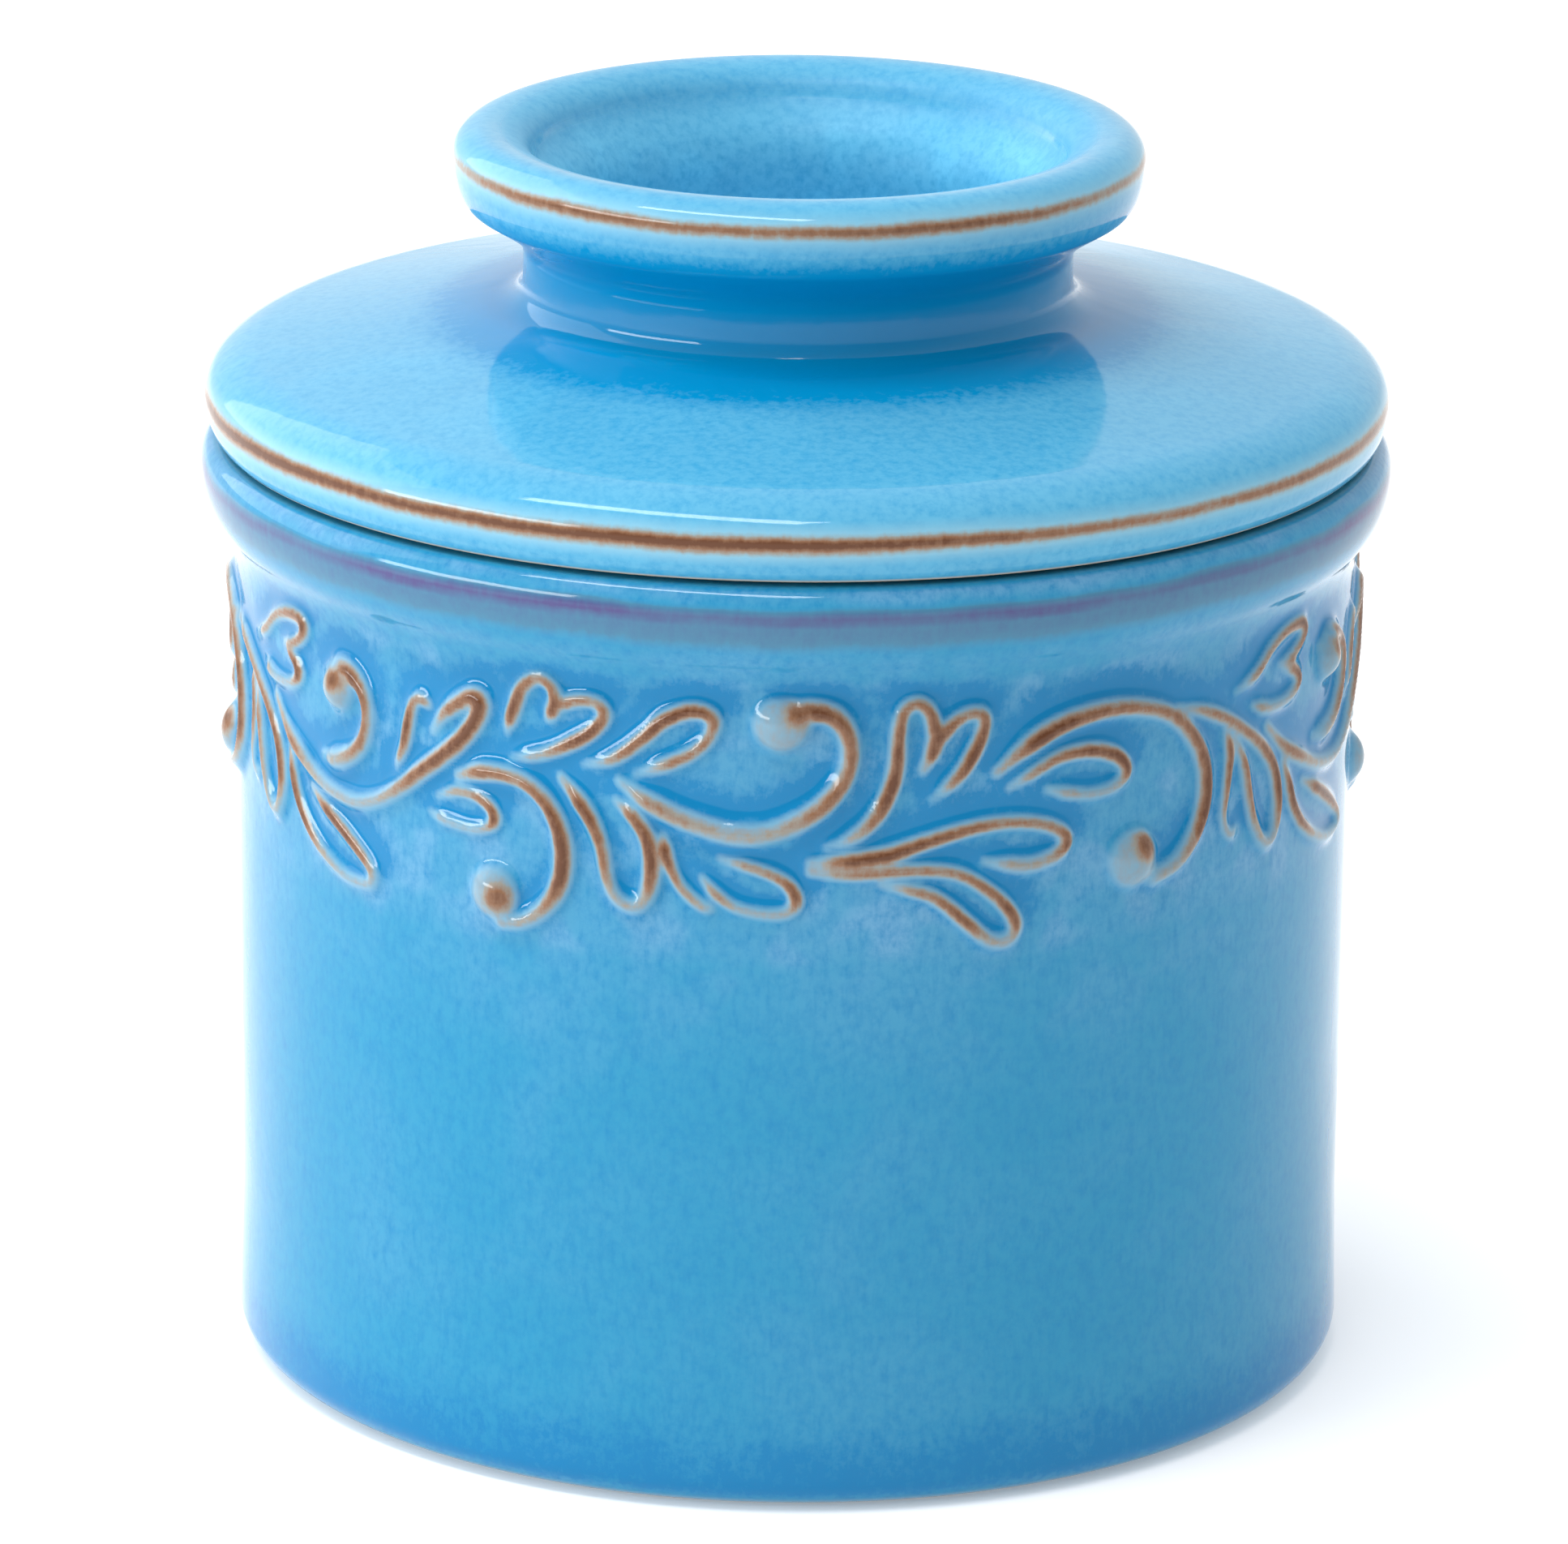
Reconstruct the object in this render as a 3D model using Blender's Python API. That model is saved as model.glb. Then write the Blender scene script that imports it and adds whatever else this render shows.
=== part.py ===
"""Butter crock: a stoneware crock, and a lid that carries a hollow knob above and a butter bell below.

Metres, +Z up. The crock stands on z = 0 with its axis on Z, and the closed lid rests on its rim.
Every piece is round, so each one is an outline in the plane y = 0 that a Screw modifier turns once
about Z. An outline starts on the axis, runs down the piece's outer side and ends on the axis again.
"""

from math import atan2, cos, degrees, radians, sin

import bpy

# Crock
body_radius = 0.0510  # outside of the upright wall
crock_wall = 0.0050
crock_floor = 0.0055
inside_corner = 0.0060  # rounding between the floor and the wall inside
rim_flare = 0.0031  # how far the widest line of the collar stands out from the wall
rim_height = 0.0859  # top of the rim above the table
rim_drop = 0.0025  # from the top of the rim down to its widest line
rim_round = 0.0018  # how far the top of the rim rounds in from its widest line
rim_inner_round = 0.0015
collar_width = 0.0058  # half axes of the oval that makes the underside of the collar
collar_height = 0.0069
collar_turn = 45.0  # degrees of that oval before the cove to the wall begins
waist_height = 0.0150
waist_depth = 0.0003
base_corner_width = 0.0040
base_corner_height = 0.0030
foot_ring_width = 0.0070
foot_recess_depth = 0.0010

# Lid and knob
seat_gap = 0.0003  # between faces that touch on the real object
lid_inset = 0.0004  # how much less the lid's radius is than the rim's
lid_edge_drop = 0.0036  # from the lid's widest line down to its seat
lid_edge_round = 0.0017
lid_shoulder_width = 0.0069
lid_shoulder_height = 0.0043
lid_rise = 0.0037  # the lid's top climbs this much from its shoulder to the knob's neck
seat_width = 0.0055
seat_recess = 0.0025  # the underside inside the seat is this much higher
neck_radius = 0.0249
neck_height = 0.0022  # its upright part
neck_cove_width = 0.0030  # rounding between the neck and the lid's top
neck_cove_height = 0.0026
knob_flare = 0.00635  # how far the knob's lip stands out from the neck
knob_height = 0.01395  # from the lid's top at the neck up to the lip's widest line
knob_wall = 0.0047
knob_floor = 0.0043
knob_corner = 0.0050
lip_round = 0.0029  # half axes of the oval that makes the top of the lip
lip_height = 0.0023
lip_under_round = 0.0017  # half axes of the oval under the lip's widest line
lip_under_height = 0.0046
lip_inner_width = 0.0042  # half axes of the oval that rolls the lip into the hollow
lip_inner_height = 0.0028

# Butter bell
bell_water_gap = 0.0080  # between the bell's mouth and the wall of the crock
bell_taper = 0.0025  # how much less its radius is at the closed end
bell_depth = 0.0500
bell_wall = 0.0045
bell_corner = 0.0040
bell_inside_corner = 0.0060

turn_steps = 96

# Radii that follow
rim_radius = body_radius + rim_flare
lid_radius = rim_radius - lid_inset
knob_radius = neck_radius + knob_flare
bell_radius = body_radius - crock_wall - bell_water_gap


# ---------------------------------------------------------------- outlines

def oval(centre_r, centre_z, half_width, half_height, start, end, steps):
    """Points of an oval arc from start to end degrees, where 0 points outwards and 90 points up."""
    points = []
    for step in range(steps + 1):
        angle = radians(start + (end - start) * step / steps)
        points.append((centre_r + half_width * cos(angle), centre_z + half_height * sin(angle)))
    return points


def sweep(start, leave, arrive, end, steps):
    """Inner points of a Bezier curve from start to end, steered by the two points between them."""
    points = []
    for step in range(1, steps):
        t = step / steps
        weights = ((1 - t) ** 3, 3 * t * (1 - t) ** 2, 3 * t * t * (1 - t), t ** 3)
        nodes = (start, leave, arrive, end)
        points.append(tuple(sum(w * node[axis] for w, node in zip(weights, nodes)) for axis in (0, 1)))
    return points


def between(start, end, share_r, share_z):
    """The point at these shares of the way from start to end, across and up."""
    return (start[0] + share_r * (end[0] - start[0]), start[1] + share_z * (end[1] - start[1]))


def crock_outline():
    """Inside floor, inside wall, rim, collar, outer wall, foot."""
    inner_radius = body_radius - crock_wall
    rim_line = rim_height - rim_drop
    collar_centre = rim_radius - collar_width
    collar = oval(collar_centre, rim_line, collar_width, collar_height, 0, -collar_turn, 6)

    # The cove leaves the collar along its tangent and ends upright on the wall.
    turn = radians(collar_turn)
    lean = atan2(collar_width * sin(turn), collar_height * cos(turn))
    collar_end_r, collar_end_z = collar[-1]
    cove_radius = (collar_end_r - body_radius) / (1 - cos(lean))
    cove_centre_z = collar_end_z - cove_radius * sin(lean)
    cove = oval(body_radius + cove_radius, cove_centre_z, cove_radius, cove_radius,
                180 - degrees(lean), 180, 5)

    foot_outer = body_radius - base_corner_width
    foot_inner = foot_outer - foot_ring_width
    return [
        (0, crock_floor),
        *oval(inner_radius - inside_corner, crock_floor + inside_corner,
              inside_corner, inside_corner, -90, 0, 5),
        *oval(inner_radius + rim_inner_round, rim_height - rim_inner_round,
              rim_inner_round, rim_inner_round, 180, 90, 3),
        *oval(rim_radius - rim_round, rim_line, rim_round, rim_drop, 90, 0, 5),
        *collar[1:],
        *cove[1:],
        (body_radius - waist_depth, waist_height),
        *oval(foot_outer, base_corner_height, base_corner_width, base_corner_height, 0, -90, 5),
        (foot_inner, 0),
        (foot_inner - foot_recess_depth, foot_recess_depth),
        (0, foot_recess_depth),
    ]


def lid_heights():
    """Seat, underside, widest line, shoulder top, neck foot and lip line of the closed lid."""
    seat = rim_height + seat_gap
    underside = seat + seat_recess
    edge = seat + lid_edge_drop
    shoulder = edge + lid_shoulder_height
    neck_foot = shoulder + lid_rise
    lip = neck_foot + knob_height
    return seat, underside, edge, shoulder, neck_foot, lip


def lid_outline():
    """Hollow of the knob, its lip, neck, the lid's top, edge, seat and underside."""
    seat, underside, edge, shoulder, neck_foot, lip = lid_heights()
    hollow_radius = neck_radius - knob_wall
    hollow_floor = underside + knob_floor
    neck_low = (neck_radius, neck_foot + neck_cove_height)
    neck_top = (neck_radius, neck_low[1] + neck_height)
    cove_end = (neck_radius + neck_cove_width, neck_foot)

    crown_r = knob_radius - lip_round
    mouth = oval(crown_r, lip + lip_height - lip_inner_height,
                 lip_inner_width, lip_inner_height, 165, 90, 5)
    hollow_top = (hollow_radius, neck_top[1])
    under_lip = oval(knob_radius - lip_under_round, lip, lip_under_round, lip_under_height, 0, -75, 5)
    shoulder_arc = oval(lid_radius - lid_shoulder_width, edge,
                        lid_shoulder_width, lid_shoulder_height, 76, 0, 7)
    seat_outer = lid_radius - lid_edge_round
    seat_inner = seat_outer - seat_width
    return [
        (0, hollow_floor),
        *oval(hollow_radius - knob_corner, hollow_floor + knob_corner,
              knob_corner, knob_corner, -90, 0, 4),
        hollow_top,
        *sweep(hollow_top, (hollow_radius, lip - lip_height),
               (mouth[0][0] - 0.25 * lip_inner_width, mouth[0][1] - lip_inner_height), mouth[0], 5),
        *mouth,
        *oval(crown_r, lip, lip_round, lip_height, 90, 0, 6)[1:],
        *under_lip[1:],
        *sweep(under_lip[-1], between(under_lip[-1], neck_top, 0.45, 0.3),
               between(under_lip[-1], neck_top, 1, 0.6), neck_top, 5),
        neck_top,
        neck_low,
        *sweep(neck_low, between(neck_low, cove_end, 0, 0.6),
               between(neck_low, cove_end, 0.4, 0.9), cove_end, 4),
        cove_end,
        *shoulder_arc,
        *oval(seat_outer, edge, lid_edge_round, lid_edge_drop, 0, -90, 5)[1:],
        (seat_inner, seat),
        (seat_inner - seat_recess, underside),
        (0, underside),
    ]


def bell_outline():
    """Closed end against the lid, outer wall, rounded mouth, inside wall and ceiling."""
    top = lid_heights()[1] - seat_gap
    mouth = top - bell_depth
    end_radius = bell_radius - bell_taper
    lip = bell_wall / 2
    return [
        (0, top),
        *oval(end_radius - bell_corner, top - bell_corner, bell_corner, bell_corner, 90, 0, 4),
        *oval(bell_radius - lip, mouth + lip, lip, lip, 0, -180, 8),
        *oval(end_radius - bell_wall - bell_inside_corner, top - bell_wall - bell_inside_corner,
              bell_inside_corner, bell_inside_corner, 0, 90, 5),
        (0, top - bell_wall),
    ]


# ---------------------------------------------------------------- objects

def glaze(name, colour, roughness):
    """Fired glaze of one colour; colour is linear RGB."""
    material = bpy.data.materials.new(name)
    material.use_nodes = True
    shader = material.node_tree.nodes["Principled BSDF"]
    shader.inputs["Base Color"].default_value = (*colour, 1)
    shader.inputs["Roughness"].default_value = roughness
    shader.inputs["Metallic"].default_value = 0
    return material


def turned(name, outline, material, parent=None):
    """Turn an outline once about Z and shade it smooth."""
    mesh = bpy.data.meshes.new(name)
    vertices = [(r, 0, z) for r, z in outline]
    edges = [(index, index + 1) for index in range(len(vertices) - 1)]
    mesh.from_pydata(vertices, edges, [])
    mesh.materials.append(material)
    piece = bpy.data.objects.new(name, mesh)
    bpy.context.scene.collection.objects.link(piece)
    piece.parent = parent

    screw = piece.modifiers.new("turn", "SCREW")
    screw.axis = "Z"
    screw.angle = radians(360)
    screw.steps = turn_steps
    screw.render_steps = turn_steps
    screw.use_merge_vertices = True
    screw.merge_threshold = 0.00001
    screw.use_smooth_shade = True
    return piece


def main():
    for leftover in list(bpy.data.objects):
        bpy.data.objects.remove(leftover, do_unlink=True)

    body_glaze = glaze("sky_blue_glaze", (0.10, 0.42, 0.72), 0.18)
    lid_glaze = glaze("sky_blue_glaze_lid", (0.13, 0.47, 0.76), 0.16)
    bell_glaze = glaze("sky_blue_glaze_bell", (0.16, 0.50, 0.76), 0.22)

    turned("crock", crock_outline(), body_glaze)

    # The lid and its bell lift straight up along the crock's axis.
    lid_lift = bpy.data.objects.new("lid_lift_axis", None)
    bpy.context.scene.collection.objects.link(lid_lift)
    turned("lid", lid_outline(), lid_glaze, lid_lift)
    turned("butter_bell", bell_outline(), bell_glaze, lid_lift)


main()
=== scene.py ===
"""Looks of a glazed stoneware butter crock: scroll relief, broken sky-blue glaze and a soft white studio."""

from __future__ import annotations

import logging
import math
from dataclasses import dataclass, field
from enum import Enum

import bpy
import numpy as np
from mathutils import Matrix, Vector


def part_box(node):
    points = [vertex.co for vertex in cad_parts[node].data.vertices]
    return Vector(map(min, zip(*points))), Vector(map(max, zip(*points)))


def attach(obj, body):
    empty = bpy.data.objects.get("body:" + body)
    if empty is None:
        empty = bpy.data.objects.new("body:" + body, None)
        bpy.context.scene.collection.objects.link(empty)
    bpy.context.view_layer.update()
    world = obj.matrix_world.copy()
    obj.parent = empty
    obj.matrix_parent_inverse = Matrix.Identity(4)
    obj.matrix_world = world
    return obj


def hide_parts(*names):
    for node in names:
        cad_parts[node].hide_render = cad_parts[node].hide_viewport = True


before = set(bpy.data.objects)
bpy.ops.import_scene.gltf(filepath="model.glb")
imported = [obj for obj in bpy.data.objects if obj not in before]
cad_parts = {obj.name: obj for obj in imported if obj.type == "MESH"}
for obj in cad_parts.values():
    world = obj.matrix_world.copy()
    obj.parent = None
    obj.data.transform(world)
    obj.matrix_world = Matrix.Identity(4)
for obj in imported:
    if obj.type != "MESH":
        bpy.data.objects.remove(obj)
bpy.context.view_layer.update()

LOG = logging.getLogger("butter_crock")
MM = 0.001
TOUCHING = 0.01 * MM
Array = np.ndarray
Socket = bpy.types.NodeSocket


# ---------------------------------------------------------------- colour and nodes


def linear(hex_colour: str) -> tuple[float, float, float, float]:
    """Turn an sRGB hex colour into linear RGBA.

    Args:
        hex_colour: Six hex digits, such as "429ac5".

    Returns:
        Linear red, green, blue and an alpha of 1.
    """
    parts = [int(hex_colour[start : start + 2], 16) / 255 for start in (0, 2, 4)]
    return (*(p / 12.92 if p <= 0.04045 else ((p + 0.055) / 1.055) ** 2.4 for p in parts), 1.0)


def add_node(
    tree: bpy.types.NodeTree,
    kind: str,
    inputs: dict[str | int, object] | None = None,
    **settings: object,
) -> bpy.types.Node:
    """Add one node, set its properties, and link or set its inputs.

    Args:
        tree: The node tree that gets the node.
        kind: Blender's type name, such as "ShaderNodeMix".
        inputs: Input name or number to an output socket, which is linked, or to a plain value.
        **settings: Properties of the node.

    Returns:
        The new node.
    """
    node = tree.nodes.new(kind)
    for name, value in settings.items():
        setattr(node, name, value)
    for name, value in (inputs or {}).items():
        if isinstance(value, Socket):
            tree.links.new(value, node.inputs[name])
        else:
            node.inputs[name].default_value = value
    return node


def reckon(tree: bpy.types.NodeTree, operation: str, *values: object, clamp: bool = False) -> Socket:
    """Add a maths node on values or sockets, and return its result."""
    inputs = dict(enumerate(values))
    return add_node(tree, "ShaderNodeMath", inputs, operation=operation, use_clamp=clamp).outputs[0]


def spread(
    tree: bpy.types.NodeTree, value: Socket, start: float, end: float, low: float, high: float,
    easing: str = "SMOOTHSTEP",
) -> Socket:
    """Map a value between start and end to one between low and high, and return it."""
    return add_node(tree, "ShaderNodeMapRange", {
        "Value": value, "From Min": start, "From Max": end, "To Min": low, "To Max": high},
        interpolation_type=easing).outputs[0]


def blend(tree: bpy.types.NodeTree, share: Socket, under: object, over: object) -> Socket:
    """Lay one colour over another by a share, and return the mix."""
    inputs = {"Factor": share, 6: under, 7: over}
    return add_node(tree, "ShaderNodeMix", inputs, data_type="RGBA").outputs[2]


def noise(
    tree: bpy.types.NodeTree, place: Socket, size_mm: float, detail: float, roughness: float,
    distortion: float = 0.0,
) -> Socket:
    """Add a noise with features of about this size, and return its value."""
    return add_node(tree, "ShaderNodeTexNoise", {
        "Vector": place, "Scale": 1 / (size_mm * MM), "Detail": detail, "Roughness": roughness,
        "Distortion": distortion}).outputs["Fac"]


# ---------------------------------------------------------------- turned surfaces


def oval(
    centre: tuple[float, float], half: tuple[float, float], start: float, end: float, steps: int
) -> Array:
    """Points of an oval arc, centre + half * (cos, sin), from start to end degrees.

    Args:
        centre: Radius and height of the oval's centre.
        half: Its half axes across and up.
        start: First angle; 0 points outwards and 90 points up.
        end: Last angle.
        steps: Number of equal steps between them.

    Returns:
        Radius and height of each point, one row each.
    """
    angle = np.radians(np.linspace(start, end, steps + 1))
    return np.stack([centre[0] + half[0] * np.cos(angle), centre[1] + half[1] * np.sin(angle)], 1)


def bezier(points: tuple[tuple[float, float], ...], steps: int) -> Array:
    """Cubic Bezier curve: the four points weighted by (1-t)^3, 3t(1-t)^2, 3t^2(1-t) and t^3.

    Args:
        points: Start, first handle, second handle and end.
        steps: Number of equal steps of t from 0 to 1.

    Returns:
        Radius and height of each point, ends included.
    """
    t = np.linspace(0, 1, steps + 1)[:, None]
    weights = np.hstack([(1 - t) ** 3, 3 * t * (1 - t) ** 2, 3 * t * t * (1 - t), t**3])
    return weights @ np.array(points)


def line(start: tuple[float, float], end: tuple[float, float], steps: int) -> Array:
    """Equally spaced points from start to end, both included."""
    t = np.linspace(0, 1, steps + 1)[:, None]
    return np.array(start) * (1 - t) + np.array(end) * t


def joined(*stretches: Array) -> Array:
    """Stretches of an outline one after another, with points that fall together kept once."""
    points = np.vstack(stretches)
    apart = np.linalg.norm(np.diff(points, axis=0), axis=1) > TOUCHING
    return points[np.concatenate([[True], apart])]


def smooth_step(low: float, high: float, value: Array) -> Array:
    """Ease from 0 at low to 1 at high: 3t^2 - 2t^3, with t held between 0 and 1."""
    t = np.clip((value - low) / (high - low), 0, 1)
    return t * t * (3 - 2 * t)


def softened(grid: Array, passes: int) -> Array:
    """Mix each place with its neighbours, half and half: round the crock first, then up and down."""
    for _ in range(passes):
        grid = 0.5 * grid + 0.25 * (np.roll(grid, 1, 1) + np.roll(grid, -1, 1))
        padded = np.pad(grid, ((1, 1), (0, 0)), mode="edge")
        grid = 0.5 * grid + 0.25 * (padded[:-2] + padded[2:])
    return grid


def wander(angle: Array, turns: tuple[int, ...], phase: float) -> Array:
    """A slow unevenness round a pot: the mean of sines that make whole numbers of waves in one turn.

    Args:
        angle: Angles round Z, in radians.
        turns: Waves per turn of each sine.
        phase: Shifts the sines against each other, so that two calls differ.

    Returns:
        Values between -1 and 1.
    """
    waves = [np.sin(turn * angle + phase * (index + 1) ** 2) for index, turn in enumerate(turns)]
    return np.mean(waves, axis=0)


@dataclass
class Ring:
    """One turn of points at the same place in the outline.

    Fields:
        radius: Radius of each point, in metres.
        height: Height of each point.
        marks: Glaze marks of each point, by name.
    """

    radius: Array
    height: Array
    marks: dict[str, Array] = field(default_factory=dict)

    @property
    def columns(self) -> int:
        """Number of points in the ring; 1 for a pole on the axis."""
        return len(self.radius)


# How the glaze lies: worn thin over an edge, pooled thick, clouded milky (in the lid's hollow this is
# painted light), broken to violet on the crock's rim with painted shade in a slate band under it, fired a
# little dull where the kiln's air hardly moved, or wiped off the clay
MARK_NAMES = ("worn", "pool", "milky_glaze_and_painted_light", "rim_violet_and_painted_shade", "dull", "clay")


def ring_angles(columns: int) -> Array:
    """Angles of a ring's points in radians, from the front (-Y) round towards +X."""
    return np.arange(columns) / columns * 2 * math.pi


def faces_between(first: int, first_columns: int, second: int, second_columns: int) -> list[list[int]]:
    """Faces that join one ring to the next one down the outline, facing away from the clay.

    Rings of the same size are joined with quads. A pole is joined with triangles. Where one ring has a
    whole number of times the other's points, each long edge gets a fan of triangles.

    Args:
        first: Index of the upper ring's first vertex.
        first_columns: Number of its points.
        second: Index of the next ring's first vertex.
        second_columns: Number of its points.

    Returns:
        Vertex indices of each face.
    """
    few, many = min(first_columns, second_columns), max(first_columns, second_columns)
    fan = many // few
    column = np.arange(few)
    following = (column + 1) % few
    if fan == 1:
        quads = [first + column, second + column, second + following, first + following]
        return np.stack(quads, 1).tolist()
    widening = first_columns == few
    triangles = []
    for step in range(fan):
        near = column if step < fan // 2 else following
        start, end = column * fan + step, (column * fan + step + 1) % many
        triangles.append((first + near, second + start, second + end) if widening
                         else (first + start, second + near, first + end))
    if few > 1:
        middle = column * fan + fan // 2
        triangles.append((first + column, second + middle, first + following) if widening
                         else (first + middle, second + column, second + following))
    return [face for corners in triangles for face in np.stack(corners, 1).tolist()]


def turned_piece(name: str, rings: list[Ring], finish: bpy.types.Material) -> bpy.types.Object:
    """Join rings into one closed piece turned about Z.

    A point at angle a of a ring lies at (radius * sin a, -radius * cos a, height).

    Args:
        name: The piece's name.
        rings: Its rings from pole to pole, down the outer side.
        finish: The material it is dressed in.

    Returns:
        The piece, shaded smooth, with its glaze marks as vertex attributes.
    """
    places, faces, start = [], [], 0
    for index, ring in enumerate(rings):
        angle = ring_angles(ring.columns)
        places.append(
            np.stack([ring.radius * np.sin(angle), -ring.radius * np.cos(angle), ring.height], 1)
        )
        if index + 1 < len(rings):
            following = rings[index + 1]
            faces += faces_between(start, ring.columns, start + ring.columns, following.columns)
        start += ring.columns
    mesh = bpy.data.meshes.new(name)
    mesh.from_pydata(np.vstack(places).tolist(), [], faces)
    for mark in MARK_NAMES:
        values = [ring.marks.get(mark, np.zeros(ring.columns)) for ring in rings]
        attribute = mesh.attributes.new(mark, "FLOAT", "POINT")
        attribute.data.foreach_set("value", np.concatenate(values).astype(np.float32))
    mesh.shade_smooth()
    mesh.materials.append(finish)
    piece = bpy.data.objects.new(name, mesh)
    bpy.context.scene.collection.objects.link(piece)
    return piece


def plain_rings(outline: Array, columns: int) -> list[Ring]:
    """Rings of an outline that is the same all round; points on the axis become poles."""
    rings = []
    for radius, height in outline:
        count = 1 if radius < TOUCHING else columns
        rings.append(Ring(np.full(count, max(radius, 0.0)), np.full(count, height)))
    return rings


# ---------------------------------------------------------------- scroll relief


@dataclass(frozen=True)
class Stroke:
    """One raised line of the relief.

    Fields:
        path: Places it runs through, as degrees round the crock and millimetres above its foot.
        width: Half width of the ridge at its thickest, foot to crest, in millimetres.
        open_end: False where the line runs into a knop and doesn't fade.
    """

    path: tuple[tuple[float, float], ...]
    width: float = 1.2
    open_end: bool = True

    def samples(self, per_span: int = 8) -> Array:
        """Points on a Catmull-Rom curve through the path.

        Each span between two places is the cubic 0.5 * (2b + (c-a)t + (2a-5b+4c-d)t^2 + (3b-a-3c+d)t^3),
        where b and c are its ends and a and d their neighbours.
        """
        nodes = np.array(self.path)
        nodes = np.vstack([2 * nodes[0] - nodes[1], nodes, 2 * nodes[-1] - nodes[-2]])
        a, b, c, d = (nodes[start : len(nodes) - 3 + start, None] for start in range(4))
        t = (np.arange(per_span) / per_span)[None, :, None]
        cubic = 2 * b + (c - a) * t + (2 * a - 5 * b + 4 * c - d) * t**2 + (3 * b - a - 3 * c + d) * t**3
        return np.vstack([(0.5 * cubic).reshape(-1, 2), nodes[-2:-1]])


SCROLL_STEMS = (
    Stroke(((-53.6, 71.6), (-51.4, 72.3), (-49.2, 72.0), (-47.5, 70.7), (-46.9, 68.7), (-47.6, 66.4),
            (-49.3, 64.7), (-51.8, 63.7), (-54.6, 63.5)), 1.41),
    Stroke(((-35.0, 65.4), (-32.4, 66.2), (-29.4, 66.4), (-26.9, 65.9), (-24.8, 64.5), (-23.4, 62.3),
            (-22.9, 59.7), (-23.4, 57.0), (-24.9, 54.8), (-27.2, 53.3), (-29.8, 52.9)), 1.41, False),
    Stroke(((-17.2, 67.2), (-14.8, 65.9), (-11.8, 64.6), (-8.8, 63.7), (-5.8, 63.1), (-2.8, 63.2),
            (0.0, 64.1), (2.6, 65.6), (4.6, 67.7), (5.5, 70.0), (5.2, 72.3), (3.9, 73.9), (1.9, 74.4),
            (0.2, 74.2)), 1.65, False),
    Stroke(((20.2, 68.0), (23.1, 70.0), (26.2, 71.5), (29.7, 72.3), (33.2, 72.5), (36.7, 72.0),
            (39.9, 70.9), (42.4, 69.0), (44.3, 66.5), (45.0, 63.8), (44.6, 61.1), (43.2, 58.8),
            (41.0, 57.0), (38.2, 56.2)), 1.45, False),
)

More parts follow.
